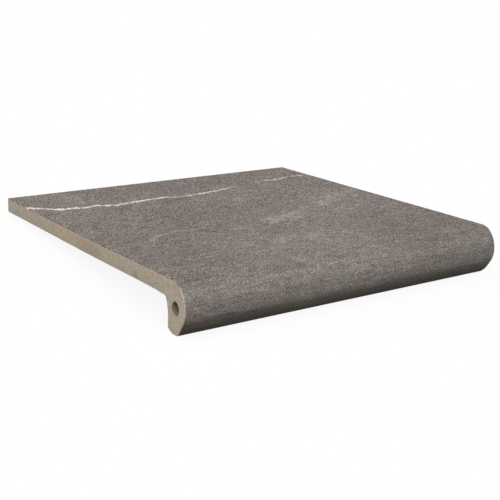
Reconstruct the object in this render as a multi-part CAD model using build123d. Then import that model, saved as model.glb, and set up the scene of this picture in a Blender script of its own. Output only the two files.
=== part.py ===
from build123d import *
import math
import os

# Stair tread tile: one piece of extruded, fired stoneware. Sizes in mm, angles in degrees.
# The section is drawn level: y runs back from the foremost line, z up from the top face.

tread_width = 330.0       # left end to right end, the way the clay was extruded
tread_depth = 317.0       # foremost line of the nosing to the back edge
plate_thickness = 14.5    # top face to underside of the flat plate
nosing_height = 42.7      # top face to the lowest line of the nosing
lip_thickness = 23.6      # foremost line to the back of the lip

nose_round_depth = 16.5   # the top face ends this far behind the foremost line
nose_round_drop = 21.2    # the foremost line lies this far below the top face
chin_radius = 20.0        # round under the foremost line
chin_slope = 57.4         # lean of the straight chin from level
sole_radius = 16.3        # crown of the lip's lower side
sole_setback = 13.9       # lowest line of that crown behind the foremost line
toe_radius = 1.2          # corner of chin and sole
heel_radius = 1.4         # corner of sole and the back of the lip

flare_radius = 40.0       # hollow curve from the back of the lip up to the underside
flare_height = 16.0       # the curve begins this far below the underside
root_radius = 2.5         # fillet where that curve meets the underside

bore_diameter = 10.5      # core hole along the nosing, open at both ends
bore_setback = 12.8       # its axis behind the foremost line
bore_drop = 21.7          # its axis below the top face

back_edge_radius = 1.0    # upper and lower corner of the back edge
end_arris = 0.8           # softened outline of both cut ends


# Points of the section that follow from the sizes
turn = math.radians(90.0 - chin_slope)
slope = math.radians(chin_slope)
chin_end = (
    chin_radius * (1.0 - math.cos(turn)),
    -nose_round_drop - chin_radius * math.sin(turn),
)
sole_centre = (sole_setback, sole_radius - nosing_height)

# The toe is where the chin's line leaves the circle of the sole
from_centre_y = chin_end[0] - sole_centre[0]
from_centre_z = chin_end[1] - sole_centre[1]
along = from_centre_y * math.cos(slope) - from_centre_z * math.sin(slope)
apart = from_centre_y**2 + from_centre_z**2
chin_length = math.sqrt(along**2 + sole_radius**2 - apart) - along
toe = (
    chin_end[0] + chin_length * math.cos(slope),
    chin_end[1] - chin_length * math.sin(slope),
)

heel_rise = math.sqrt(sole_radius**2 - (lip_thickness - sole_setback) ** 2)
heel = (lip_thickness, sole_centre[1] - heel_rise)
flare_start = (lip_thickness, -plate_thickness - flare_height)
flare_run = flare_radius - math.sqrt(flare_radius**2 - flare_height**2)
root = (lip_thickness + flare_run, -plate_thickness)
back_top = (tread_depth, 0.0)
back_bottom = (tread_depth, -plate_thickness)
nose_start = (nose_round_depth, 0.0)

with BuildSketch() as section:
    with BuildLine():
        Line(back_top, nose_start)
        EllipticalCenterArc(
            center=(nose_round_depth, -nose_round_drop),
            x_radius=nose_round_depth,
            y_radius=nose_round_drop,
            start_angle=90,
            arc_size=90,
        )
        CenterArc(
            center=(chin_radius, -nose_round_drop),
            radius=chin_radius,
            start_angle=180,
            arc_size=90.0 - chin_slope,
        )
        Line(chin_end, toe)
        ThreePointArc(toe, (sole_setback, -nosing_height), heel)
        Line(heel, flare_start)
        CenterArc(
            center=(lip_thickness + flare_radius, flare_start[1]),
            radius=flare_radius,
            start_angle=180,
            arc_size=-math.degrees(math.asin(flare_height / flare_radius)),
        )
        Line(root, back_bottom)
        Line(back_bottom, back_top)
    make_face()
    corner_radii = [
        (toe, toe_radius),
        (heel, heel_radius),
        (root, root_radius),
        (back_top, back_edge_radius),
        (back_bottom, back_edge_radius),
    ]
    for corner, radius in corner_radii:
        fillet(section.vertices().sort_by_distance(corner)[0], radius)
    with Locations((bore_setback, -bore_drop)):
        Circle(bore_diameter / 2.0, mode=Mode.SUBTRACT)

tile = extrude(Plane.YZ * section.sketch, amount=tread_width / 2.0, both=True)

# Both cut ends have their outline softened; the mouths of the core hole stay sharp
left_end = tile.faces().sort_by(Axis.X)[0]
right_end = tile.faces().sort_by(Axis.X)[-1]
outline = left_end.outer_wire().edges() + right_end.outer_wire().edges()
tile = fillet(outline, end_arris)

# Laid on a level floor it rests on the sole of the nosing and on the lower back corner
rest_y = tread_depth - back_edge_radius - sole_centre[0]
rest_z = -plate_thickness + back_edge_radius - sole_centre[1]
rest_span = math.hypot(rest_y, rest_z)
lean = math.asin((sole_radius - back_edge_radius) / rest_span)
rest_tilt = math.atan2(rest_z, rest_y) + lean


def laid(y, z):
    """A point of the level section after the tile is laid down on its sole and back corner."""
    return (
        y * math.cos(rest_tilt) + z * math.sin(rest_tilt),
        z * math.cos(rest_tilt) - y * math.sin(rest_tilt),
    )


# The middle of the footprint on the floor is the part's origin: the tile reaches from the round
# of its chin to the upper back corner, and the floor touches the sole
front_reach = laid(chin_radius, -nose_round_drop)[0] - chin_radius
back_reach = laid(tread_depth - back_edge_radius, -back_edge_radius)[0] + back_edge_radius
floor_level = laid(sole_centre[0], sole_centre[1])[1] - sole_radius
tile = Rot(X=-math.degrees(rest_tilt)) * tile
tile = Pos(0.0, -(front_reach + back_reach) / 2.0, -floor_level) * tile
tile.label = "stair_tread_tile"

os.makedirs("parts", exist_ok=True)
export_step(tile, "parts/stair_tread_tile.step")
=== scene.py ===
import math
import bpy
import numpy as np
from mathutils import Matrix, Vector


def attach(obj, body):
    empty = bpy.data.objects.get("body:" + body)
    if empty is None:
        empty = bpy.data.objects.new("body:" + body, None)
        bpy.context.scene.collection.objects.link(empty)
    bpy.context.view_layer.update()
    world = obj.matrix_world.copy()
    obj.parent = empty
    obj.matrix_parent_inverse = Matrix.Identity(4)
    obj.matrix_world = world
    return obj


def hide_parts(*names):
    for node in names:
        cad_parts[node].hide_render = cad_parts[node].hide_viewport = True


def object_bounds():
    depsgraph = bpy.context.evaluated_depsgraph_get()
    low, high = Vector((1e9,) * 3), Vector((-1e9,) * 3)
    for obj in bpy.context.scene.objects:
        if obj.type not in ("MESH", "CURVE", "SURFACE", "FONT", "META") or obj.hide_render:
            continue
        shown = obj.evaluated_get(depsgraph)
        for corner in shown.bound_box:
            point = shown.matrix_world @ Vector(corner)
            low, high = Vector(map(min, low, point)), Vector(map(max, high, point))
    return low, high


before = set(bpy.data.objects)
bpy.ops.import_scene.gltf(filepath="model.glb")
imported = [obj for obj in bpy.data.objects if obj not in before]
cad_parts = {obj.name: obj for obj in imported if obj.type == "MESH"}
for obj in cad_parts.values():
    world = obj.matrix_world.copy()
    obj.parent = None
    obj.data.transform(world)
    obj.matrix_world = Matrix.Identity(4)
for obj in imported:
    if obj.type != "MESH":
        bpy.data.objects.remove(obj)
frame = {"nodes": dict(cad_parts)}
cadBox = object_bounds()
scene = bpy.context.scene
scene.view_settings.view_transform = "Standard"
mm = 0.001
print("frame loaded:", ", ".join(frame["nodes"]))


# the tile's own sizes, as its solid has them; y runs back from the foremost line, z up from the top face
tileShape = dict(
    width=330 * mm, depth=317 * mm, plate=14.5 * mm, nosing=42.7 * mm, lip=23.6 * mm,
    noseDepth=16.5 * mm, noseDrop=21.2 * mm, chinRadius=20 * mm, chinSlope=57.4,
    soleRadius=16.3 * mm, soleSetback=13.9 * mm, toeRadius=1.2 * mm, heelRadius=1.4 * mm,
    flareRadius=40 * mm, flareHeight=16 * mm, rootRadius=2.5 * mm, backRadius=1 * mm, arris=0.8 * mm,
    boreRadius=5.25 * mm, boreSetback=12.8 * mm, boreDrop=21.7 * mm,
    # the core hole sagged a little out of round: shares of its radius, and where the waves begin
    boreTall=0.035, boreWobble=0.03, boreCorners=0.03, wobbleTurn=0.4, cornersTurn=0.9,
    # the right end has lost the tip of its lower front corner
    cornerLoss=4.6 * mm, cornerReach=2.0 * mm, cornerSpread=20 * mm,
    # soft hollows of the stone face and drag lines of the underside: deepest place, sizes, fade at the edges
    stoneRelief=0.2 * mm, hollowSize=16 * mm, pitSize=5 * mm, faceFade=6 * mm,
    dragRelief=0.12 * mm, dragSize=4.2 * mm, dragSlowing=0.03, underFade=4 * mm,
    # the plate is fuller behind the lip, and a little over its front half
    rootSwell=0.75 * mm, rootSpread=17 * mm, plateSwell=0.2 * mm, swellEnd=170 * mm, swellFade=20 * mm,
    # its lower back corner is worn at the left end
    cornerThin=1.15 * mm, thinStart=182 * mm, thinWidth=35 * mm,
    # the softened edges of the ends aren't the same all along
    unevenLeast=0.75, unevenRange=0.5, unevenSize=9 * mm, sinkLimit=0.95,
    # points of the mesh
    plateSteps=150, columns=161, arrisSteps=4, boreColumns=9, collarShare=0.3, sharpDeg=40,
    steps=dict(bridge=8, nose=24, chinRound=10, chin=9, toe=5, sole=12, heel=6, lipBack=6, flare=10, root=6,
               backLow=4, backFace=6, backTop=4),
)


def smoothStep(low, high, value):
    # 0 at low, 1 at high, with an S-shaped ramp between; low may be the greater
    share = np.clip((value - low) / (high - low), 0, 1)
    return share * share * (3 - 2 * share)


def latticeNoise(u, v, cell, seed):
    # smooth value noise: seeded random heights on a square lattice, blended with smoothstep weights
    size = 256
    heights = np.random.default_rng(seed).random((size, size))
    u, v = u / cell + size / 4, v / cell + size / 4
    i, j = np.floor(u).astype(int), np.floor(v).astype(int)
    a, b = smoothStep(0, 1, u - i), smoothStep(0, 1, v - j)
    i, j, k, m = i % size, j % size, (i + 1) % size, (j + 1) % size
    near = heights[i, j] * (1 - a) + heights[k, j] * a
    far = heights[i, m] * (1 - a) + heights[k, m] * a
    return near * (1 - b) + far * b


def lineRun(start, end, steps):
    # evenly spaced points of a straight edge with its outward side on the right; the next run has the end
    start, end = np.array(start), np.array(end)
    share = np.linspace(0, 1, steps, endpoint=False)[:, None]
    way = (end - start) / np.linalg.norm(end - start)
    return np.hstack([start + share * (end - start), np.tile([way[1], -way[0]], (steps, 1))])


def arcRun(centre, halfY, halfZ, startDeg, endDeg, steps, side=1):
    # points of an ellipse round its centre with their outward direction; side -1 for a hollow curve
    angle = np.radians(np.linspace(startDeg, endDeg, steps, endpoint=False))
    away = np.stack([np.cos(angle), np.sin(angle)], 1)
    out = away / [halfY, halfZ]
    out = side * out / np.linalg.norm(out, axis=1, keepdims=True)
    return np.hstack([np.array(centre) + away * [halfY, halfZ], out])


def sectionRuns(s):
    # the section in named runs, one after the other round the outline, each with points and outward
    # directions
    turn, slope = math.radians(90 - s["chinSlope"]), math.radians(s["chinSlope"])
    chin = np.array([s["chinRadius"], -s["noseDrop"]])
    chinEnd = chin - s["chinRadius"] * np.array([math.cos(turn), math.sin(turn)])
    down = np.array([math.cos(slope), -math.sin(slope)])
    inward = np.array([math.sin(slope), math.cos(slope)])
    sole = np.array([s["soleSetback"], s["soleRadius"] - s["nosing"]])
    # the toe's round lies a radius inside both the chin's line and the circle of the sole
    start = chinEnd + s["toeRadius"] * inward - sole
    along, room = start @ down, (s["soleRadius"] - s["toeRadius"]) ** 2
    toe = sole + start + down * (math.sqrt(along**2 + room - start @ start) - along)
    toeDeg = math.degrees(math.atan2(*(toe - sole)[::-1])) + 360
    # the heel's round lies a radius inside the back of the lip and the circle of the sole
    heelY = s["lip"] - s["heelRadius"]
    fall = math.sqrt((s["soleRadius"] - s["heelRadius"]) ** 2 - (heelY - sole[0]) ** 2)
    heel = np.array([heelY, sole[1] - fall])
    heelDeg = math.degrees(math.atan2(*(heel - sole)[::-1])) + 360
    # the root's round lies a radius below the underside, inside the circle of the flare
    flare = np.array([s["lip"] + s["flareRadius"], -s["plate"] - s["flareHeight"]])
    rootZ = -s["plate"] - s["rootRadius"]
    reach = math.sqrt((s["flareRadius"] - s["rootRadius"]) ** 2 - (rootZ - flare[1]) ** 2)
    root = np.array([flare[0] - reach, rootZ])
    rootDeg = math.degrees(math.atan2(*(root - flare)[::-1]))
    back, r, n = s["depth"] - s["backRadius"], s["backRadius"], s["steps"]
    return dict(
        tread=lineRun((back, 0), (root[0], 0), s["plateSteps"]),
        bridge=lineRun((root[0], 0), (s["noseDepth"], 0), n["bridge"]),
        nose=arcRun((s["noseDepth"], -s["noseDrop"]), s["noseDepth"], s["noseDrop"], 90, 180, n["nose"]),
        chinRound=arcRun(chin, s["chinRadius"], s["chinRadius"], 180, 270 - s["chinSlope"], n["chinRound"]),
        chin=lineRun(chinEnd, toe - s["toeRadius"] * inward, n["chin"]),
        toe=arcRun(toe, s["toeRadius"], s["toeRadius"], 270 - s["chinSlope"], toeDeg, n["toe"]),
        sole=arcRun(sole, s["soleRadius"], s["soleRadius"], toeDeg, heelDeg, n["sole"]),
        heel=arcRun(heel, s["heelRadius"], s["heelRadius"], heelDeg, 360, n["heel"]),
        lipBack=lineRun((s["lip"], heel[1]), (s["lip"], flare[1]), n["lipBack"]),
        flare=arcRun(flare, s["flareRadius"], s["flareRadius"], 180, rootDeg, n["flare"], -1),
        root=arcRun(root, s["rootRadius"], s["rootRadius"], rootDeg, 90, n["root"], -1),
        underside=lineRun((root[0], -s["plate"]), (back, -s["plate"]), s["plateSteps"]),
        backLow=arcRun((back, r - s["plate"]), r, r, 270, 360, n["backLow"]),
        backFace=lineRun((s["depth"], r - s["plate"]), (s["depth"], -r), n["backFace"]),
        backTop=arcRun((back, -r), r, r, 0, 90, n["backTop"]),
    )


def layDown(s, y, z):
    # turns the level section about X until sole and lower back corner share one floor, then centres its
    # footprint
    r, sole = s["backRadius"], np.array([s["soleSetback"], s["soleRadius"] - s["nosing"]])
    span = np.array([s["depth"] - r, r - s["plate"]]) - sole
    tilt = math.atan2(span[1], span[0]) + math.asin((s["soleRadius"] - r) / np.linalg.norm(span))
    c, t = math.cos(tilt), math.sin(tilt)
    front = s["chinRadius"] * c - s["noseDrop"] * t - s["chinRadius"]
    rear = (s["depth"] - r) * c - r * t + r
    floor = sole[1] * c - sole[0] * t - s["soleRadius"]
    return y * c + z * t - (front + rear) / 2, z * c - y * t - floor


def widthColumns(s):
    # places across the width; both ends turn in by a quarter round, given as depth sunk and arc gone round
    half, r = s["width"] / 2, s["arris"]
    bend = np.linspace(0, math.pi / 2, s["arrisSteps"] + 1)[1:]
    x, sink, arc = half - r + r * np.sin(bend), r * (1 - np.cos(bend)), r * bend
    flat, none = np.linspace(r - half, half - r, s["columns"]), np.zeros(s["columns"])
    left = (-x[::-1], sink[::-1], arc[::-1])
    return [np.concatenate(parts) for parts in zip(left, (flat, none, none), (x, sink, arc))]


def surfaceRelief(s, xs, runLength, marks):
    # depth of soft hollows from the back edge to the toe, and of the die's drag lines under the plate:
    # each a sum of two noises, faded out with S-shaped ramps where its face ends
    hollows = 0.65 * latticeNoise(xs, runLength, s["hollowSize"], 3)
    pits = 0.35 * latticeNoise(xs, runLength, s["pitSize"], 4)
    face = smoothStep(0, s["faceFade"], runLength) * smoothStep(marks["toe"], marks["chin"], runLength)
    lumps = 0.3 * latticeNoise(xs, runLength, s["dragSize"], 5)
    lines = 0.7 * latticeNoise(xs * s["dragSlowing"], runLength, s["dragSize"], 6)
    low, high, fade = marks["underside"], marks["backLow"], s["underFade"]
    under = smoothStep(low, low + fade, runLength) * smoothStep(high, high - fade, runLength)
    return s["stoneRelief"] * (hollows + pits) * face + s["dragRelief"] * (lumps + lines) * under


def plateSettle(s, x, outline):
    # how far the underside lies above the even plate: lower by a bell curve round the root and by an
    # S-shaped ramp towards the front, higher by a straight ramp towards the back near the left end;
    # the shift fades out down the hollow curve and up the back face
    y, z = outline[:, 0], outline[:, 1]
    bell = np.exp(-(((y - s["lip"]) / s["rootSpread"]) ** 2))
    front = smoothStep(s["swellEnd"] + s["swellFade"], s["swellEnd"] - s["swellFade"], y)
    fuller = s["rootSwell"] * bell + s["plateSwell"] * front
    back = np.clip((y - s["thinStart"]) / (s["depth"] - s["thinStart"]), 0, 1)
    left = smoothStep(s["thinWidth"] - s["width"] / 2, -s["width"] / 2, x)
    below = np.clip((-z - s["backRadius"]) / (s["plate"] - 2 * s["backRadius"]), 0, 1)
    hollow = smoothStep(-s["plate"] - s["flareHeight"], -s["plate"], z) * (y >= s["lip"])
    return (s["cornerThin"] * back * left - fuller) * below * hollow


def lostCorner(s, x, outline, toe):
    # how far the right end falls back near its toe: an exponential in the distance from the toe point, and
    # spread over the last stretch of the width with an S-shaped ramp
    away = np.linalg.norm(outline[:, :2] - toe, axis=1)
    half = s["width"] / 2
    near = smoothStep(half - s["cornerSpread"], half, x)[:, None]
    return s["cornerLoss"] * np.exp(-away / s["cornerReach"]) * near


# where the printed stone has its veins and clouds: (x, y) in mm on the level tread, y from the foremost
# line; a cloud lifts or sinks the tone along its path, and green turns its hue from plum towards olive
stonePrint = dict(
    veinReach=12 * mm, endFade=6 * mm, endShare=0.4,  # the fade at a cloud's ends grows with its spread
    veins=[
        dict(path=[(-165, 271), (-155, 262), (-143, 251), (-128, 250), (-118, 247), (-104, 250),
                   (-96, 244), (-88, 242), (-75, 244), (-55, 246), (-33, 249), (-22, 245), (-5, 244),
                   (8, 246), (25, 248), (40, 252), (64, 258)],
             strength=[(-165, 1.1), (-158, 0.95), (-153, 0.62), (-143, 1.1), (-136, 0.8), (-128, 1.05),
                       (-119, 0.95), (-112, 0.6), (-105, 0.95), (-99, 0.8), (-93, 1.05), (-75, 1),
                       (-60, 0.9), (-50, 0.75), (-30, 0.7), (-22, 0.48), (2, 0.55), (9, 0.8), (30, 0.75),
                       (42, 0.6), (52, 0.4), (64, 0.15)]),
        dict(path=[(72, 265), (84, 266.5), (100, 267), (115, 265), (131, 268), (144, 271.5), (157, 269.5),
                   (165, 268)],
             strength=[(72, 0.1), (86, 0.28), (100, 0.45), (110, 0.8), (118, 0.62), (128, 0.5), (136, 0.4),
                       (142, 0.55), (152, 0.55), (165, 0.45)]),
        # hairline streaks in the middle of the tread
        dict(path=[(-134, 112), (-117, 122), (-104, 128), (-94, 131), (-79, 130), (-66, 130), (-48, 137)],
             strength=[(-134, 0), (-125, 0.12), (-117, 0.22), (-104, 0.2), (-80, 0.2), (-66, 0.15),
                       (-48, 0)]),
        dict(path=[(-9, 131), (4, 127), (11, 129.5), (20, 126)],
             strength=[(-9, 0), (-2, 0.2), (12, 0.24), (20, 0)]),
        dict(path=[(30, 134), (40, 131), (48, 128)], strength=[(30, 0), (35, 0.26), (42, 0.26), (48, 0)]),
        dict(path=[(28, 123), (41, 120)], strength=[(28, 0), (33, 0.24), (38, 0.24), (41, 0)]),
        dict(path=[(100, 177), (112, 174.5), (123, 179)],
             strength=[(100, 0), (105, 0.22), (116, 0.2), (123, 0)]),
        dict(path=[(80, 149), (93, 147)], strength=[(80, 0), (84, 0.2), (89, 0.2), (93, 0)]),
    ],
    clouds=[
        dict(path=[(-127, 112), (-118, 121), (-109, 130)], spread=4.0, strength=0.62, green=0.9),
        dict(path=[(-108, 130), (-94, 132), (-78, 131)], spread=3.0, strength=0.3, green=0.2),
        dict(path=[(4, 128), (20, 131), (48, 138)], spread=4.5, strength=0.6, green=-0.2),
        dict(path=[(-2, 121), (14, 120), (34, 120)], spread=8.0, strength=0.55, green=-0.2),
        dict(path=[(44, 136), (60, 145), (74, 150)], spread=5.0, strength=0.35, green=0.4),
        dict(path=[(78, 146), (86, 152), (94, 159)], spread=6.0, strength=0.6, green=0.4),
        dict(path=[(97, 164), (112, 171), (130, 176)], spread=9.0, strength=0.35, green=0.3),
        dict(path=[(122, 176), (138, 182), (156, 188)], spread=12.0, strength=0.3, green=0.1),
        dict(path=[(60, 113), (90, 122), (110, 132), (138, 142)], spread=10.0, strength=0.12, green=0.7),
        dict(path=[(-38, 57), (-26, 66), (-14, 71)], spread=5.0, strength=0.6, green=0.4),
        dict(path=[(-8, 60), (6, 64), (24, 70)], spread=8.0, strength=0.35, green=0.4),
        dict(path=[(18, 200), (33, 214), (46, 225)], spread=8.0, strength=0.25, green=0.5),
        dict(path=[(80, 240), (92, 245), (104, 249)], spread=2.0, strength=0.3, green=0),
        dict(path=[(-56, 3), (-44, 8), (-22, 13)], spread=6.0, strength=0.2, green=0.6),
        dict(path=[(108, 44), (122, 50), (138, 56)], spread=5.0, strength=0.2, green=0.8),
        dict(path=[(-164, 18), (-148, 16), (-132, 15)], spread=8.0, strength=-0.3, green=0.4),
        dict(path=[(80, 14), (95, 9), (108, 10)], spread=7.0, strength=-0.12, green=0.3),
        dict(path=[(-165, 10.5), (0, 10.5), (165, 10.5)], spread=3.5, strength=-0.14, green=0),
        dict(path=[(-60, 232), (-38, 233), (-14, 232)], spread=7.0, strength=-0.25, green=0),
        dict(path=[(-96, 224), (-88, 229), (-80, 231)], spread=5.0, strength=-0.35, green=0.5),
        dict(path=[(-75, 130), (-58, 122), (-46, 108)], spread=9.0, strength=-0.25, green=0),
        # wide drifts of tone and hue
        dict(path=[(-165, 140), (-110, 135), (-45, 150)], spread=50, strength=-0.16, green=0.1),
        dict(path=[(-165, 45), (-130, 50), (-95, 55)], spread=45, strength=-0.18, green=-0.2),
        dict(path=[(60, 45), (120, 50), (165, 52)], spread=45, strength=-0.22, green=0.5),
        dict(path=[(-110, 295), (-20, 288), (90, 295)], spread=30, strength=-0.16, green=-0.2),
        dict(path=[(-165, 308), (-140, 308), (-100, 309)], spread=13, strength=0.04, green=1.0),
        dict(path=[(-90, 32), (-30, 42), (55, 62)], spread=35, strength=0.08, green=0.7),
        dict(path=[(-30, 100), (60, 120), (140, 140)], spread=35, strength=0, green=0.45),
        dict(path=[(55, 150), (100, 160), (165, 190)], spread=35, strength=0.06, green=0.2),
        dict(path=[(-90, 190), (-20, 192), (45, 188)], spread=28, strength=-0.14, green=0),
        dict(path=[(-124, 283), (-108, 285), (-94, 286)], spread=22, strength=0.3, green=0.1),
    ],
)


def pathOffset(x, y, path):
    # distance of each point in front of or behind a path that runs across the tread, square to the path
    px, py = np.array(path).T * mm
    slope = np.interp(x, (px[1:] + px[:-1]) / 2, np.diff(py) / np.diff(px))
    return (y - np.interp(x, px, py)) / np.sqrt(1 + slope**2)


def printFields(s, x, y):
    # vein offset and strength, and how far the clouds lift the tone and turn the hue, at each point of the
    # tread; a cloud is a bell curve across its path, with S-shaped ramps at the path's ends
    offset, strength = np.full(x.shape, 1.0), np.zeros(x.shape)
    for vein in stonePrint["veins"]:
        at, value = np.array(vein["strength"]).T
        at = at * mm
        runsOn = np.abs(at[[0, -1]]) > s["width"] / 2 - mm  # over that end of the tile
        before, after = value[[0, -1]] * runsOn
        here = np.interp(x, at, value, left=before, right=after)
        away = pathOffset(x, y, vein["path"])
        near = (here > 0) & (np.abs(away) < stonePrint["veinReach"]) & (np.abs(away) < np.abs(offset))
        offset, strength = np.where(near, away, offset), np.where(near, here, strength)
    paleness, greenness = np.zeros(x.shape), np.zeros(x.shape)
    for cloud in stonePrint["clouds"]:
        first, last = cloud["path"][0][0] * mm, cloud["path"][-1][0] * mm
        spread = cloud["spread"] * mm
        soft = stonePrint["endFade"] + stonePrint["endShare"] * spread
        ends = smoothStep(first - soft, first + soft, x) * smoothStep(last + soft, last - soft, x)
        band = np.exp(-((pathOffset(x, y, cloud["path"]) / spread) ** 2))
        paleness += cloud["strength"] * ends * band
        greenness += cloud["green"] * ends * band
    return offset, strength, paleness, greenness


# how the print meets the edges and the nosing, with the painted shade and painted light on them; heights are
# z of the level section
printEdge = dict(
    frontStart=2 * mm, bareStart=14 * mm,         # what the front and the bare sides count as, at an end
    facingTop=0.95, facingFront=0.5,              # outward z between which the front's depth comes in
    noseStart=30 * mm, noseFull=4 * mm,           # setbacks between which the nosing's own grain comes in
    shadeMost=0.95, shadeTop=28 * mm, shadeHeight=12 * mm,  # painted shade: the chin darkens towards the toe
    # two paler bands of painted light along the nosing: soft upper and lower edge of each, share of the lower
    # one
    upperPaintedLight=((-4 * mm, -9 * mm), (-18 * mm, -14.5 * mm)),
    lowerPaintedLight=((-21.5 * mm, -24.5 * mm), (-34 * mm, -30 * mm)), lowerLightShare=0.8,
    paintedLightPlaces=[-100 * mm, -10 * mm, 90 * mm], paintedLightLift=[0.2, 0.07, 0.13],  # their lift across the width
    boreDepth=15 * mm, boreShade=1.0,             # what the wall of the core hole counts as, and its painted shade
)


def edgeFields(e, outline, names, arc):
    # how far a point lies round or below the top edge of an end, in metres, its share of the nosing's round,
    # painted shade that darkens the chin in a straight ramp down to the toe, and where two paler bands of
    # painted light run along the nosing, with S-shaped edges
    z, facing = outline[:, 1], outline[:, 3]
    top = np.isin(names, ["tread", "bridge", "nose", "backTop"])
    front = np.isin(names, ["chinRound", "chin", "toe"])
    overTop = e["frontStart"] * smoothStep(e["facingTop"], e["facingFront"], facing)
    start = np.where(top, overTop, np.where(front, e["frontStart"], e["bareStart"]))
    start = np.where(names == "backTop", 0, start)
    nearFront = smoothStep(e["noseStart"], e["noseFull"], outline[:, 0])
    onNose = np.where(np.isin(names, ["bridge", "nose"]), nearFront, front)
    # painted shade on the chin
    low = np.where(front, -z, 0)
    paintedShade = e["shadeMost"] * np.clip((low - e["shadeTop"]) / e["shadeHeight"], 0, 1)
    # painted light: two paler bands along the nosing and its chin
    bands = (e["upperPaintedLight"], e["lowerPaintedLight"])
    upper, lower = (smoothStep(*above, z) * smoothStep(*below, z) for above, below in bands)
    band = np.where(front, e["lowerLightShare"] * lower, upper * (names == "nose"))
    across = np.ones((len(arc), 1))
    return start + arc[:, None], onNose * across, paintedShade * across, band * across


def tileFaces(s, count, columnCount, around, marks):
    # quads of skin, hole wall and both ends, all turned outwards, and the two many-sided caps at the back;
    # on an end, a collar of two bands joins the nosing's outline to the mouth of the hole
    first, last = marks["bridge"], marks["underside"]
    c, k = np.meshgrid(np.arange(columnCount - 1), np.arange(count), indexing="ij")
    n = (k + 1) % count
    here, beyond = c * count, (c + 1) * count
    skin = np.stack([here + k, here + n, beyond + n, beyond + k], -1).reshape(-1, 4)
    base, m = columnCount * count, np.arange(around)
    ring, k2 = np.meshgrid(np.arange(s["boreColumns"] - 1) * around, m, indexing="ij")
    n2 = (k2 + 1) % around
    wall = base + np.stack([ring + k2, ring + around + k2, ring + around + n2, ring + n2], -1).reshape(-1, 4)
    p, n3 = np.arange(s["plateSteps"]), (m + 1) % around
    ends, caps, loops = [], [], base + s["boreColumns"] * around
    for column, mouth, turnRound in ((0, 0, True), (columnCount - 1, s["boreColumns"] - 1, False)):
        edge, rim = column * count, base + mouth * around
        loop = loops + (around if column else 0)
        outer = np.stack([edge + first + m, edge + first + n3, loop + n3, loop + m], -1)
        inner = np.stack([loop + m, loop + n3, rim + n3, rim + m], -1)
        ribbon = np.stack([edge + first - p - 1, edge + first - p, edge + last + p, edge + last + p + 1], -1)
        cap = edge + np.append(np.arange(marks["backLow"], count), 0)
        ends += [(f[:, ::-1] if turnRound else f) for f in (outer, inner, ribbon)]
        caps.append((cap[::-1] if turnRound else cap).tolist())
    # finish by face: 0 stone face, 1 cut clay, 2 die skin
    flatPart = (c >= s["arrisSteps"]) & (c < columnCount - 1 - s["arrisSteps"])
    stone = (k < marks["sole"]) | (k >= marks["backTop"])
    finish = np.where(flatPart, np.where(stone, 0, 2), 1).ravel()
    flat = len(caps) + sum(len(f) for f in ends)
    finish = np.concatenate([finish, np.full(len(wall), 2), np.ones(flat, int)])
    smooth = np.concatenate([np.ones(len(skin) + len(wall), bool), np.zeros(flat, bool)])
    return skin.tolist() + wall.tolist() + np.vstack(ends).tolist() + caps, finish, smooth


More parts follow.
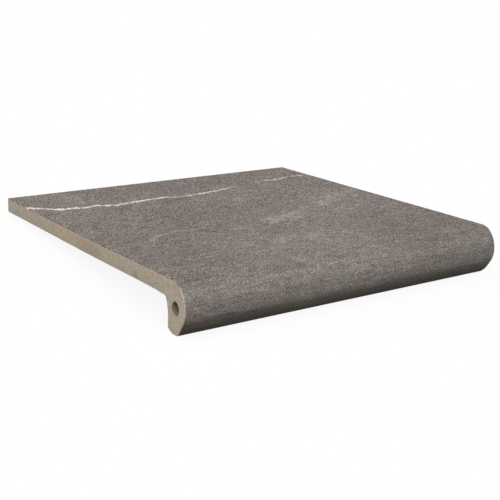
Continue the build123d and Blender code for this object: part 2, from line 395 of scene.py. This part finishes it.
def makeTile(s):
    # the outline carried across the width, sunk inwards by the arris at both ends and by the relief
    runs = sectionRuns(s)
    marks = dict(zip(runs, np.cumsum([0] + [len(r) for r in runs.values()])))
    names = np.repeat(list(runs), [len(r) for r in runs.values()])
    outline = np.vstack(list(runs.values()))
    along = np.concatenate([[0], np.cumsum(np.linalg.norm(np.diff(outline[:, :2], axis=0), axis=1))])
    x, sink, arc = widthColumns(s)
    xs, runLength = np.meshgrid(x, along, indexing="ij")
    relief = surfaceRelief(s, xs, runLength, {name: along[at] for name, at in marks.items()})
    uneven = s["unevenLeast"] + s["unevenRange"] * latticeNoise(runLength, xs, s["unevenSize"], 7)
    inset = relief + np.minimum(sink[:, None] * uneven, s["sinkLimit"] * s["arris"])
    height = outline[:, 1] + plateSettle(s, xs, outline)
    rowY, rowZ = layDown(s, outline[:, 0] - outline[:, 2] * inset, height - outline[:, 3] * inset)
    toe = outline[(marks["toe"] + marks["sole"]) // 2, :2]
    skin = np.stack([xs - lostCorner(s, x, outline, toe), rowY, rowZ], -1)

    # core hole: one point for each nosing point, in the same direction from the hole's axis; its radius
    # has a wave of two crests, one of three that a wave of two swells, and one of five
    axis = np.array([s["boreSetback"], -s["boreDrop"]])
    nosing = slice(marks["bridge"], marks["underside"] + 1)
    angle = np.arctan2(outline[nosing, 1] - axis[1], outline[nosing, 0] - axis[0])
    wobble = s["boreWobble"] * np.sin(3 * angle + s["wobbleTurn"])
    corners = s["boreCorners"] * np.cos(5 * angle + s["cornersTurn"])
    radius = s["boreRadius"] * (1 - (s["boreTall"] + wobble) * np.cos(2 * angle) - corners)
    boreY, boreZ = layDown(s, axis[0] + radius * np.cos(angle), axis[1] + radius * np.sin(angle))
    boreX = np.linspace(-s["width"] / 2, s["width"] / 2, s["boreColumns"])[:, None]
    bore = np.stack(np.broadcast_arrays(boreX, boreY, boreZ), -1)
    # the loop between the collar's bands: part of the way in from the outline, level with the end
    loops = skin[[0, -1]][:, nosing] * (1 - s["collarShare"]) + bore[[0, -1]] * s["collarShare"]
    loops[..., 0] = bore[[0, -1], :, 0]

    faces, finish, smooth = tileFaces(s, len(outline), len(x), len(angle), marks)
    points = np.vstack([part.reshape(-1, 3) for part in (skin, bore, loops)])
    mesh = bpy.data.meshes.new("stairTread")
    mesh.from_pydata(points.tolist(), [], faces)
    mesh.polygons.foreach_set("material_index", finish.astype(np.int32))
    mesh.polygons.foreach_set("use_smooth", smooth)

    offset, strength, paleness, greenness = printFields(s, xs, np.broadcast_to(outline[:, 0], xs.shape))
    onTread = np.isin(names, ["tread", "bridge", "backTop"])
    edgeDepth, onNose, paintedShade, band = edgeFields(printEdge, outline, names, arc)
    # painted light: the two paler bands along the nosing are added to the print's paleness
    paleness = paleness + band * np.interp(xs, printEdge["paintedLightPlaces"], printEdge["paintedLightLift"])
    fields = dict(veinOffset=offset, veinStrength=strength * onTread, paleness=paleness, greenness=greenness,
                  edgeDepth=edgeDepth, onNose=onNose, paintedShade=paintedShade)
    inBore = dict(edgeDepth=printEdge["boreDepth"], paintedShade=printEdge["boreShade"])
    for label, field in fields.items():
        deep = inBore.get(label, 0.0)
        loop = field[[0, -1]][:, nosing] * (1 - s["collarShare"]) + deep * s["collarShare"]
        values = np.concatenate([field.ravel(), np.full(boreX.size * len(angle), deep), loop.ravel()])
        mesh.attributes.new(label, "FLOAT", "POINT").data.foreach_set("value", values.astype(np.float32))
    mesh.update()
    mesh.set_sharp_from_angle(angle=math.radians(s["sharpDeg"]))
    tile = bpy.data.objects.new("stairTread", mesh)
    scene.collection.objects.link(tile)
    return tile


tile = makeTile(tileShape)
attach(tile, "root")
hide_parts("stair_tread_tile")
print("tile:", len(tile.data.vertices), "points,", len(tile.data.polygons), "faces")


class Wire:
    # one socket of a node tree; arithmetic on it adds Math nodes
    def __init__(self, tree, socket=None):
        self.tree, self.socket = tree, socket

    def add(self, kind, settings=None, inputs=None, output=0):
        # any node: its settings first, then values or wires for its sockets
        node = self.tree.nodes.new(kind)
        for name, value in (settings or {}).items():
            setattr(node, name, value)
        for name, value in (inputs or {}).items():
            if isinstance(value, Wire):
                self.tree.links.new(value.socket, node.inputs[name])
            else:
                node.inputs[name].default_value = value
        return Wire(self.tree, node.outputs[output] if node.outputs else None)

    def maths(self, operation, *terms, clamp=False):
        return self.add("ShaderNodeMath", dict(operation=operation, use_clamp=clamp), dict(enumerate(terms)))

    def __add__(self, other):
        return self.maths("ADD", self, other)

    def __sub__(self, other):
        return self.maths("SUBTRACT", self, other)

    def __rsub__(self, other):
        return self.maths("SUBTRACT", other, self)

    def __mul__(self, other):
        return self.maths("MULTIPLY", self, other)

    def __truediv__(self, other):
        return self.maths("DIVIDE", self, other)

    def __abs__(self):
        return self.maths("ABSOLUTE", self)

    __radd__, __rmul__ = __add__, __mul__

    def clamp(self):
        return self.maths("ADD", self, 0.0, clamp=True)

    def between(self, low, high):
        # 0 below low, 1 above high, a smooth ramp between; the other way round where low is the greater
        return self.add("ShaderNodeMapRange", dict(interpolation_type="SMOOTHSTEP"),
                        {"Value": self, "From Min": low, "From Max": high})

    def ramp(self, first, last):
        # first where this wire is 0, last where it is 1, and straight between
        return self * (last - first) + first

    def blend(self, first, second):
        # the same for two colours
        return self.add("ShaderNodeMix", dict(data_type="RGBA"), {0: self, 6: first, 7: second}, 2)

    def axis(self, name):
        return self.add("ShaderNodeSeparateXYZ", None, {0: self}, name)

    def field(self, name):
        return self.add("ShaderNodeAttribute", dict(attribute_name=name), None, "Fac")

    def stretch(self, scale):
        return self.add("ShaderNodeVectorMath", dict(operation="MULTIPLY"), {0: self, 1: scale})

    def reach(self, point):
        return self.add("ShaderNodeVectorMath", dict(operation="DISTANCE"), {0: self, 1: point}, "Value")

    def noise(self, size, detail=2.0, roughness=0.5, distortion=0.0):
        # soft noise with blots of about this size in metres
        inputs = {"Vector": self, "Scale": 1 / size, "Detail": detail, "Roughness": roughness}
        inputs["Distortion"] = distortion
        return self.add("ShaderNodeTexNoise", None, inputs)


def tone(red, green, blue):
    # a picture colour, 0 to 255, as the light that a shader works with
    share = np.array([red, green, blue]) / 255
    light = np.where(share <= 0.04045, share / 12.92, ((share + 0.055) / 1.055) ** 2.4)
    return (*light.tolist(), 1.0)


def startMaterial(name):
    material = bpy.data.materials.new(name)
    material.use_nodes = True
    tree = material.node_tree
    tree.nodes.clear()
    place = Wire(tree).add("ShaderNodeTexCoord", output="Object")
    return material, place


def endMaterial(place, colour, roughness, height, lift, specular):
    # matt fired clay: colour and roughness from wires, fine relief as bump of the given lift in metres
    bump = place.add("ShaderNodeBump", None, {"Strength": 1.0, "Distance": lift, "Height": height})
    inputs = {"Base Color": colour, "Roughness": roughness, "Specular IOR Level": specular, "Normal": bump}
    shader = place.add("ShaderNodeBsdfPrincipled", None, inputs)
    place.add("ShaderNodeOutputMaterial", None, {"Surface": shader})


# printed and fired stone look of tread and nosing: blot sizes in metres
stoneFinish = dict(
    dark=tone(71, 63, 61), mid=tone(124.8, 114.9, 110.9), light=tone(176, 167.8, 162.5),
    vein=tone(240, 232, 229), teal=tone(117.5, 113.6, 108), olive=tone(123, 117, 105),
    # the chin's dark colour on the next line is painted shade
    sand=tone(149, 140, 133), chinPaintedShade=tone(80, 76, 69),
    acrossEnds=(-0.165, 0.165), depthEnds=(-0.12, 0.08),  # left to right and front to back, for slow changes
    grain=1.4 * mm, fleck=0.8 * mm, blot=8 * mm, drift=45 * mm, tealSize=16 * mm, oliveSize=12 * mm,
    noseGrain=0.95 * mm, noseStretch=(0.8, 1.25, 1.25),
    stroke=2.3 * mm, strokeLong=4.6, strokeGain=1.1,      # strokes along the nosing: width, length in widths
    dash=2.6 * mm, dashLong=10.0,                 # a few sharp dashes, the same way
    dashPale=0.6, leftDash=0.9, rightDash=0.2,    # strength of the pale ones, and of the dark at each end
    streak=3.2 * mm, streakLong=11.0, streakGain=0.75,    # soft streaks along the nosing's round
    frontContrast=5.35, backContrast=8.1, noseContrast=4.55, rightContrast=1.14,
    frontGrain=0.65, backGrain=1.0,               # share of the coarse grain in the speckle
    frontFleck=1.25, backFleck=0.55, noseFleck=0.48,      # share of the fine flecks
    mixGain=1.66,                                 # a mix of two grains would be fainter than either
    leftNose=0.05, rightNose=0.15, frontSink=0.02,        # slow lifts and falls of the tone
    toneReach=1.25, greenTurn=0.16,
    veinHalf=3.4 * mm, veinFeather=1.0 * mm, veinRagged=2.8 * mm, veinWander=5 * mm, veinSway=7 * mm,
    lift=0.15 * mm, specular=0.06,
)


def stoneColour(place, f):
    # colour, roughness and fine height of the printed face, at any point of it
    onNose, paleness = place.field("onNose"), place.field("paleness")
    veinOffset, veinStrength = place.field("veinOffset"), place.field("veinStrength")
    across, depth = place.axis("X").between(*f["acrossEnds"]), place.axis("Y").between(*f["depthEnds"])
    grain = place.noise(f["grain"], 3.0, 0.62)
    fleck = place.noise(f["fleck"], 1.0)
    noseGrain = place.stretch(f["noseStretch"]).noise(f["noseGrain"], 3.0, 0.65)
    blot = place.noise(f["blot"], 3.0, 0.6)
    drift = place.noise(f["drift"], 3.0)
    stroke = place.stretch((1 / f["strokeLong"], 1.0, 1.0)).noise(f["stroke"], 2.0, 0.5, 0.4)
    dash = place.stretch((1 / f["dashLong"], 1.0, 1.0)).noise(f["dash"], 2.0)
    streak = place.stretch((1 / f["streakLong"], 1.0, 1.0)).noise(f["streak"], 2.0)
    teal = (place.noise(f["tealSize"], 3.0).between(0.5, 0.66) + onNose * across.ramp(0.1, 0.45)).clamp()
    olive = place.noise(f["oliveSize"], 3.0) + place.field("greenness") * f["greenTurn"]
    olive = olive.between(0.51, 0.66)

    # speckle of the tread and of the nosing's round, mixed where one turns into the other
    coarse = (grain - 0.5) * depth.ramp(f["frontGrain"], f["backGrain"])
    fine = (fleck - 0.5) * depth.ramp(f["frontFleck"], f["backFleck"])
    speckle = (coarse + fine) * depth.ramp(f["frontContrast"], f["backContrast"])
    noseSpeckle = (noseGrain - 0.5 + (fleck - 0.5) * f["noseFleck"]) * f["noseContrast"]
    speckle = speckle * (1 - onNose) + noseSpeckle * onNose
    speckle = speckle * across.ramp(1.0, f["rightContrast"]) * (onNose * (1 - onNose) * f["mixGain"] + 1)

    strokes = (stroke - 0.5) * drift.between(0.35, 0.6).ramp(1.0, 2.0) * onNose.ramp(1.0, 0.6)
    dashes = dash.between(0.33, 0.25) * f["dashPale"]
    dashes = dashes - dash.between(0.67, 0.75) * across.ramp(f["leftDash"], f["rightDash"])
    lumps = paleness * blot.between(0.3, 0.7).ramp(0.3, 1.5)
    slow = (blot - 0.5) * onNose.ramp(0.5, 0.2) + (drift - 0.5) * 0.4 + lumps * 0.9
    slow = slow + onNose * ((streak - 0.5) * f["streakGain"] + across.ramp(f["leftNose"], f["rightNose"]))
    level = speckle + strokes * f["strokeGain"] + dashes + slow - (1 - depth) * f["frontSink"]
    dark = (level * -1.0).between(0.0, f["toneReach"])
    pale = level.between(0.0, f["toneReach"])
    ground = teal.blend(olive.blend(f["mid"], f["olive"]), f["teal"])
    ground = (lumps * 0.7).clamp().blend(ground, f["sand"])
    stone = pale.blend(dark.blend(ground, f["dark"]), f["light"])
    # painted shade: the chin is darkened towards the toe
    stone = place.field("paintedShade").blend(stone, f["chinPaintedShade"])

    ragged = place.noise(f["veinRagged"], 3.0, 0.7).between(0.31, 0.69)
    wander = (place.noise(f["veinWander"], 3.0, 0.6) - 0.5) * f["veinSway"]
    half = veinStrength * ragged.ramp(0.25, 1.55) * f["veinHalf"]
    inVein = ((half - abs(veinOffset + wander)) / f["veinFeather"]).clamp()
    colour = (inVein * (veinStrength * 0.5 + ragged * 0.5 + 0.05)).clamp().blend(stone, f["vein"])
    return colour, 0.84 - pale * 0.06 + dark * 0.06, grain * 0.6 + fleck * 0.2 + stroke * 0.4


def makeStoneFace(f):
    material, place = startMaterial("stoneFace")
    colour, roughness, height = stoneColour(place, f)
    endMaterial(place, colour, roughness, height, f["lift"], f["specular"])
    return material


# bare fired clay: the sawn ends with their rim of stone colour, and the skin left by the die
clayFinish = dict(
    body=tone(182.5, 168.5, 150), warm=tone(188.5, 169.5, 148), green=tone(177.5, 168, 148),
    grey=tone(182, 170, 155), grit=tone(142, 129, 112), pale=tone(193, 181, 162),
    # the last colour on the next line is painted shade for the wall of the core hole
    speck=tone(118, 100, 80), core=tone(150, 134, 115),
    skin=tone(170, 156, 136), skinDark=tone(146, 131, 112),
    mottle=8 * mm, wide=24 * mm, grain=0.9 * mm, gritSize=1.98 * mm, speckSize=2.4 * mm,
    cutStretch=(1.0, 0.5, 1.0),                   # the grain of a cut end is drawn out along the plate
    rimDepth=1.55 * mm, rimFeather=0.2 * mm, rimRagged=0.8 * mm,  # stone colour that runs over the top edge
    rimSag=0.45 * mm, sagFront=(-0.085, -0.055), sagBack=(0.11, 0.06),  # it runs further between these rows
    lineDepth=2.3 * mm, lineFeather=0.4 * mm, lineShare=0.3,      # a paler line below it
    innerStart=4 * mm, innerFull=13 * mm, innerShare=0.55,        # paler clay deep in the nosing
    # soft tints of the left end, y and z on the level section
    marks=[
        dict(colour=tone(185, 177.5, 170), y=318 * mm, z=-3 * mm, size=62 * mm, amount=0.9),
        # the next tint is partly painted light that lifts the lower front of the lip, where the floor shades
        # it, and partly a greener hue
        dict(colour=tone(182, 175.5, 159), y=9 * mm, z=-27 * mm, size=26 * mm, amount=0.7),
        dict(colour=tone(168, 152, 134), y=152 * mm, z=-7 * mm, size=34 * mm, amount=0.6),
        dict(colour=tone(146, 113, 82), y=71 * mm, z=-11.5 * mm, size=6 * mm, amount=0.45),
    ],
    skinMottle=32 * mm, dragSize=1.6 * mm, dragStretch=(0.015, 1.0, 1.0),  # the die drew lines along the tile
    lift=0.1 * mm, specular=0.08,
)


def makeCutClay(f):
    material, place = startMaterial("cutClay")
    drawn = place.stretch(f["cutStretch"])
    mottle = drawn.noise(f["mottle"], 2.0)
    grain = drawn.noise(f["grain"], 3.0, 0.65)
    grit = drawn.noise(f["gritSize"], 2.0)
    colour = place.noise(f["wide"], 2.0).between(0.45, 0.62).blend(f["body"], f["grey"])
    colour = mottle.between(0.52, 0.66).blend(colour, f["warm"])
    colour = mottle.between(0.5, 0.36).blend(colour, f["green"])
    along = place.axis("Y")
    sag = along.between(*f["sagFront"]) * along.between(*f["sagBack"]) * f["rimSag"]
    edge = place.field("edgeDepth") + (grit - 0.5) * f["rimRagged"] - sag
    colour = (edge.between(f["innerStart"], f["innerFull"]) * f["innerShare"]).blend(colour, f["pale"])
    for mark in f["marks"]:
        middle = (-tileShape["width"] / 2, *layDown(tileShape, mark["y"], mark["z"]))
        away = place.reach(middle) + (mottle - 0.5) * 0.8 * mark["size"]
        colour = (away.between(mark["size"], 0.0) * mark["amount"]).blend(colour, mark["colour"])
    colour = (grain.between(0.6, 0.3) * 0.65 + grit.between(0.48, 0.3) * 0.25).blend(colour, f["grit"])
    colour = (place.noise(f["speckSize"], 1.0).between(0.74, 0.8) * 0.5).blend(colour, f["speck"])
    onLine = edge.between(f["lineDepth"] + f["lineFeather"], f["lineDepth"] - f["lineFeather"])
    colour = (onLine * f["lineShare"]).blend(colour, f["pale"])
    inRim = edge.between(f["rimDepth"] + f["rimFeather"], f["rimDepth"] - f["rimFeather"])
    colour = inRim.blend(colour, stoneColour(place, stoneFinish)[0])
    endMaterial(place, colour, 0.88 - grain * 0.06, grain, f["lift"], f["specular"])
    return material


def makeDieSkin(f):
    material, place = startMaterial("dieSkin")
    mottle = place.noise(f["skinMottle"], 3.0)
    drag = place.stretch(f["dragStretch"]).noise(f["dragSize"], 3.0, 0.6)
    grain = place.noise(f["grain"], 2.0)
    colour = (mottle.between(0.3, 0.7) * 0.6 + drag * 0.4).blend(f["skinDark"], f["skin"])
    # painted shade in the core hole: its wall is darkened towards that colour
    colour = (place.field("paintedShade") * mottle.ramp(0.7, 1.0)).blend(colour, f["core"])
    endMaterial(place, colour, 0.8 + drag * 0.1, drag * 0.8 + grain * 0.3, f["lift"], f["specular"])
    return material


tile.data.materials.append(makeStoneFace(stoneFinish))
tile.data.materials.append(makeCutClay(clayFinish))
tile.data.materials.append(makeDieSkin(clayFinish))
print("finishes:", ", ".join(m.name for m in tile.data.materials))


# pale studio: floor and background are white to the camera, a bright soft sky, softboxes in front,
# on the left and, weaker, behind
studio = dict(
    floorHalf=4.0, floorBounce=tone(58, 57, 56), shadowShare=0.11, shadowFade=60 * mm, sky=0.59,
    lamps=[
        dict(name="frontSoftbox", place=(-0.55, -1.59, 1.09), size=1.2, watts=17.0),
        dict(name="leftSoftbox", place=(-1.7, -0.1, 0.8), size=1.2, watts=14.0),
        dict(name="rearSoftbox", place=(0.8, 1.6, 0.9), size=1.2, watts=4.0),
    ],
)


def seenWhite(start):
    # 1 for rays from the camera and for mirror and glass rays, 0 for the light that falls on the tile
    kinds = ("Is Camera Ray", "Is Glossy Ray", "Is Transmission Ray")
    rays = [start.add("ShaderNodeLightPath", output=kind) for kind in kinds]
    return (rays[0] + rays[1] + rays[2]).clamp()


def makeFloor(s):
    h = s["floorHalf"]
    mesh = bpy.data.meshes.new("studioFloor")
    mesh.from_pydata([(-h, -h, 0), (h, -h, 0), (h, h, 0), (-h, h, 0)], [], [(0, 1, 2, 3)])
    material, place = startMaterial("studioFloor")
    # the shadow shows beside the tile and fades out with the distance from its footprint
    spot = (place.axis("X"), place.axis("Y"))
    outside = [place.maths("MAXIMUM", abs(v) - edge, 0.0) for v, edge in zip(spot, cadBox[1])]
    away = place.maths("SQRT", outside[0] * outside[0] + outside[1] * outside[1])
    share = away.between(s["shadowFade"], 0.0) * s["shadowShare"]
    white = (1, 1, 1, 1)
    shadow = place.add("ShaderNodeBsdfDiffuse", None, {"Color": white})
    glow = place.add("ShaderNodeEmission", None, {"Color": white, "Strength": 1.0})
    seen = place.add("ShaderNodeMixShader", None, {0: share, 1: glow, 2: shadow})
    bounce = place.add("ShaderNodeBsdfDiffuse", None, {"Color": s["floorBounce"]})
    above = place.add("ShaderNodeMixShader", None, {0: seenWhite(place), 1: bounce, 2: seen})
    # from below the floor is clear, so that the underside can be looked at
    below = place.add("ShaderNodeNewGeometry", output="Backfacing")
    clear = place.add("ShaderNodeBsdfTransparent")
    surface = place.add("ShaderNodeMixShader", None, {0: below, 1: above, 2: clear})
    place.add("ShaderNodeOutputMaterial", None, {"Surface": surface})
    mesh.materials.append(material)
    floor = bpy.data.objects.new("studioFloor", mesh)
    scene.collection.objects.link(floor)


def makeLight(s):
    world = bpy.data.worlds.new("studioSky")
    world.use_nodes = True
    scene.world = world
    tree = world.node_tree
    tree.nodes.clear()
    start = Wire(tree)
    strength = seenWhite(start) * (1.0 - s["sky"]) + s["sky"]
    sky = start.add("ShaderNodeBackground", None, {"Color": (1, 1, 1, 1), "Strength": strength})
    start.add("ShaderNodeOutputWorld", None, {"Surface": sky})
    for lamp in s["lamps"]:
        data = bpy.data.lights.new(lamp["name"], "AREA")
        data.shape, data.size, data.energy = "DISK", lamp["size"], lamp["watts"]
        box = bpy.data.objects.new(lamp["name"], data)
        place = Matrix.Translation(lamp["place"])
        away = place.translation.normalized()  # the lamp's back points away from the tile at the origin
        box.matrix_world = place @ away.to_track_quat("Z", "Y").to_matrix().to_4x4()
        scene.collection.objects.link(box)


makeFloor(studio)
makeLight(studio)
print("studio:", len(studio["lamps"]), "lamps")


# camera fitted to the tile's edges in a picture of 500 x 500
viewPoint = dict(
    place=(-0.5415, -0.7262, 0.3227), yawDeg=37.173, pitchDeg=19.992, rollDeg=5.025, lens=74.08, sensor=36.0,
    nearest=0.01, farthest=50.0,
)


def makeCamera(v):
    # level and facing +Y, then rolled, tipped down and turned to the right
    data = bpy.data.cameras.new("camera")
    data.lens, data.sensor_width = v["lens"], v["sensor"]
    data.clip_start, data.clip_end = v["nearest"], v["farthest"]
    camera = bpy.data.objects.new("camera", data)
    turn = Matrix.Rotation(math.radians(-v["yawDeg"]), 4, "Z")
    tip = Matrix.Rotation(math.radians(90 - v["pitchDeg"]), 4, "X")
    roll = Matrix.Rotation(math.radians(v["rollDeg"]), 4, "Z")
    camera.matrix_world = Matrix.Translation(v["place"]) @ turn @ tip @ roll
    scene.collection.objects.link(camera)
    scene.camera = camera


makeCamera(viewPoint)
print("camera set")
